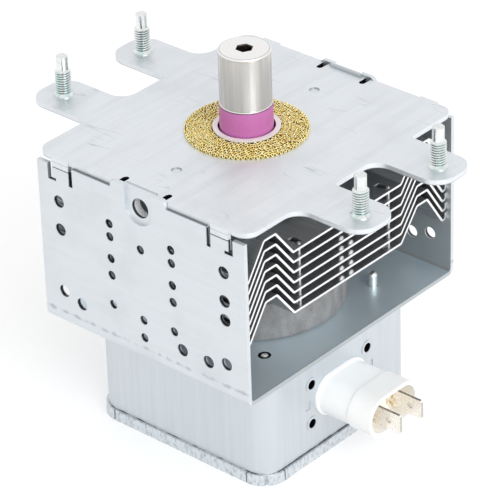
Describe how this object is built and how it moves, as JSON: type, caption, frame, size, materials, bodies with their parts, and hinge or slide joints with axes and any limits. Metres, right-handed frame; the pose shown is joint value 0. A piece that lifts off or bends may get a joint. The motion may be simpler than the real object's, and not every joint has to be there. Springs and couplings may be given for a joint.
{
  "type": "oven magnetron",
  "caption": "Air-cooled oven magnetron: perforated folded yoke, fin stack between ring magnets, studded top plate with antenna and gasket, and a filter box with a blade connector.",
  "frame": {"origin": "on the antenna's axis, at the mounting face, which is the top plate's upper face", "axes": "+Z along the antenna, away from the tube; +X along the cooling air's path, towards the connector; the yoke's perforated walls face -Y and +Y"},
  "size_m": [0.13, 0.095, 0.1226],
  "materials": {
    "yoke_steel": "zinc-plated sheet, satin",
    "plate_steel": "zinc-plated sheet, satin",
    "stud_steel": "zinc-plated, semi-bright",
    "box_steel": "zinc-plated sheet, satin",
    "gasket_brass": "knitted wire, satin",
    "cap_nickel": "drawn cup, turned satin",
    "iron_alloy": "nickel-plated, satin",
    "pole_iron": "plated soft iron",
    "copper": "bare copper",
    "tungsten": "dark wire",
    "molybdenum": "grey metal, satin",
    "ferrite": "sintered ferrite, matt grey",
    "pink_ceramic": "alumina tinted pink, matt",
    "white_ceramic": "alumina, matt",
    "white_plastic": "moulded, satin",
    "tinned_brass": "tin-plated strip, satin",
    "fin_aluminium": "bare sheet, bright edges"
  },
  "bodies": {
    "root": {"anode_cylinder": "copper", "antenna_cap": "cap_nickel", "antenna_ceramic": "pink_ceramic", "antenna_lead": "copper", "blade_1": "tinned_brass", "blade_2": "tinned_brass", "centre_lead": "molybdenum", "choke_coil_1": "copper", "choke_coil_2": "copper", "choke_core_1": "ferrite", "choke_core_2": "ferrite", "clinch_rivets": "stud_steel", "connector_body": "white_plastic", "connector_flange": "box_steel", "exhaust_cup": "iron_alloy", "exhaust_tube": "copper", "filament": "tungsten", "filter_box": "box_steel", "filter_lid": "box_steel", "fin_1": "fin_aluminium", "fin_2": "fin_aluminium", "fin_3": "fin_aluminium", "fin_4": "fin_aluminium", "fin_5": "fin_aluminium", "fin_6": "fin_aluminium", "fin_7": "fin_aluminium", "flange_eyelets": "stud_steel", "locating_pegs": "stud_steel", "lower_end_hat": "molybdenum", "lower_inner_strap": "copper", "lower_magnet": "ferrite", "lower_outer_strap": "copper", "lower_pole_piece": "pole_iron", "lower_seal_cup": "iron_alloy", "mounting_studs": "stud_steel", "rf_gasket": "gasket_brass", "side_lead": "molybdenum", "stem_ceramic": "white_ceramic", "stem_terminal_1": "iron_alloy", "stem_terminal_2": "iron_alloy", "top_plate": "plate_steel", "upper_end_hat": "molybdenum", "upper_inner_strap": "copper", "upper_magnet": "ferrite", "upper_outer_strap": "copper", "upper_pole_piece": "pole_iron", "upper_seal_cup": "iron_alloy", "vane_1": "copper", "vane_10": "copper", "vane_2": "copper", "vane_3": "copper", "vane_4": "copper", "vane_5": "copper", "vane_6": "copper", "vane_7": "copper", "vane_8": "copper", "vane_9": "copper", "yoke": "yoke_steel"}
  },
  "joints": []
}
